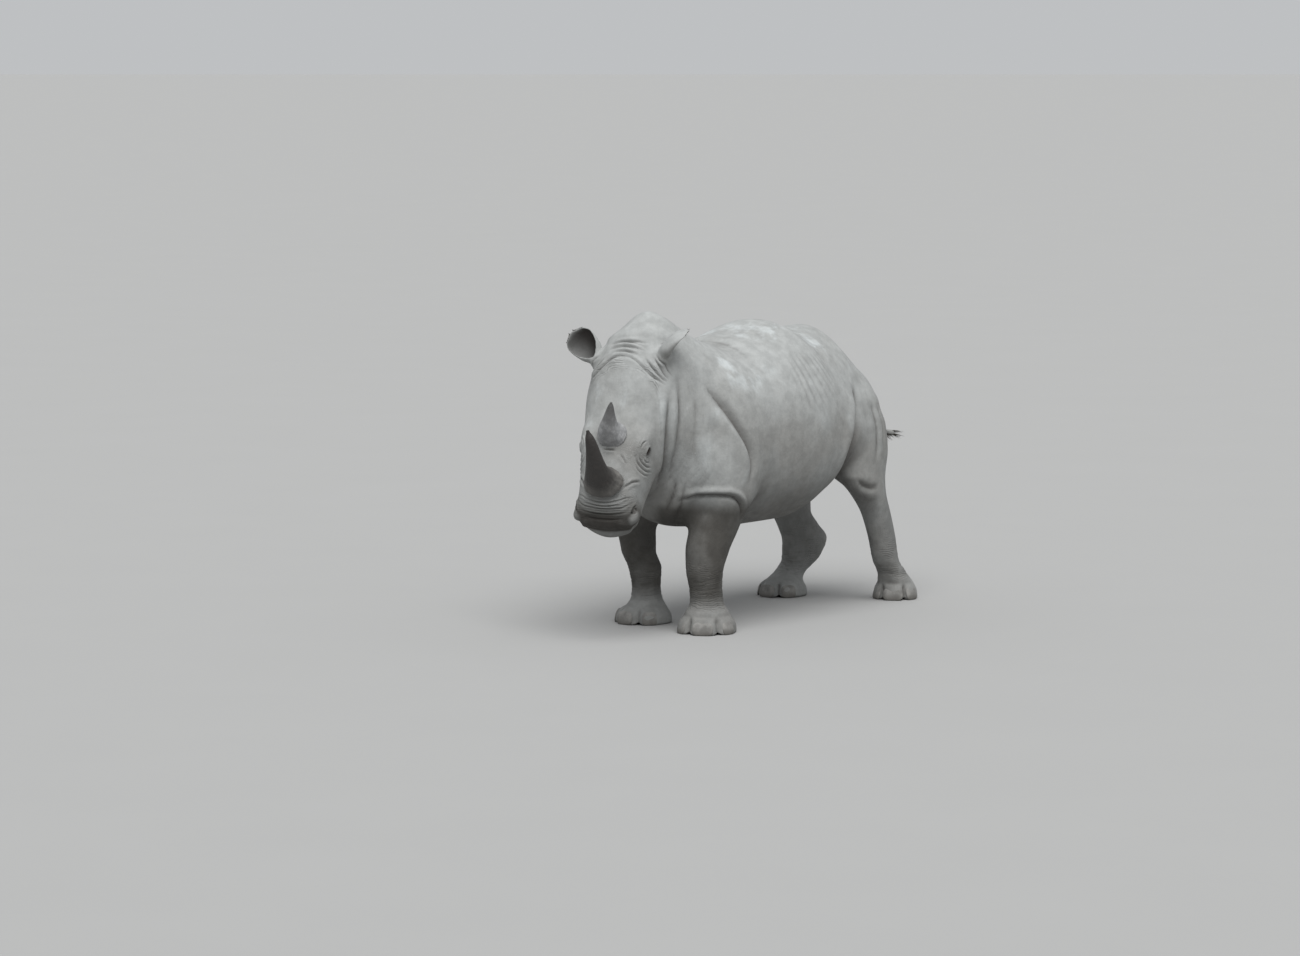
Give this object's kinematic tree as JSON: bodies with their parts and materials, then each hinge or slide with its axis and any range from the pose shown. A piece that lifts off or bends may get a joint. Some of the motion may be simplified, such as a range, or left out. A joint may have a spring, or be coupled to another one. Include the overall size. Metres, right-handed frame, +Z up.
{
  "type": "rhinoceros figure",
  "caption": "Life-size still figure of a white rhinoceros in mid-stride, head lowered and turned, with horns, cupped ears, toed feet and a bristled tail.",
  "frame": {"origin": "middle of the figure's length and width, at the level of its soles", "axes": "+X the way the animal walks, +Y its left, +Z up"},
  "size_m": [3.1868, 1.0084, 1.7095],
  "materials": {
    "hide": "matt, finely cracked grey-taupe skin with pale dust on the back",
    "horn": "matt, fibrous, darker towards the tip",
    "horn_pale": "matt, fibrous and weathered",
    "nail": "matt, worn",
    "eye": "wet gloss"
  },
  "bodies": {
    "root": {"torso": "hide", "neck": "hide", "head": "hide", "ear_left": "hide", "ear_right": "hide", "tail": "hide", "leg_front_left": "hide", "leg_front_right": "hide", "leg_hind_left": "hide", "leg_hind_right": "hide", "horn_front": "horn", "horn_rear": "horn_pale", "eye_left": "eye", "eye_right": "eye", "nail_front_left_inner": "nail", "nail_front_left_middle": "nail", "nail_front_left_outer": "nail", "nail_front_right_inner": "nail", "nail_front_right_middle": "nail", "nail_front_right_outer": "nail", "nail_hind_left_inner": "nail", "nail_hind_left_middle": "nail", "nail_hind_left_outer": "nail", "nail_hind_right_inner": "nail", "nail_hind_right_middle": "nail", "nail_hind_right_outer": "nail"}
  },
  "joints": []
}
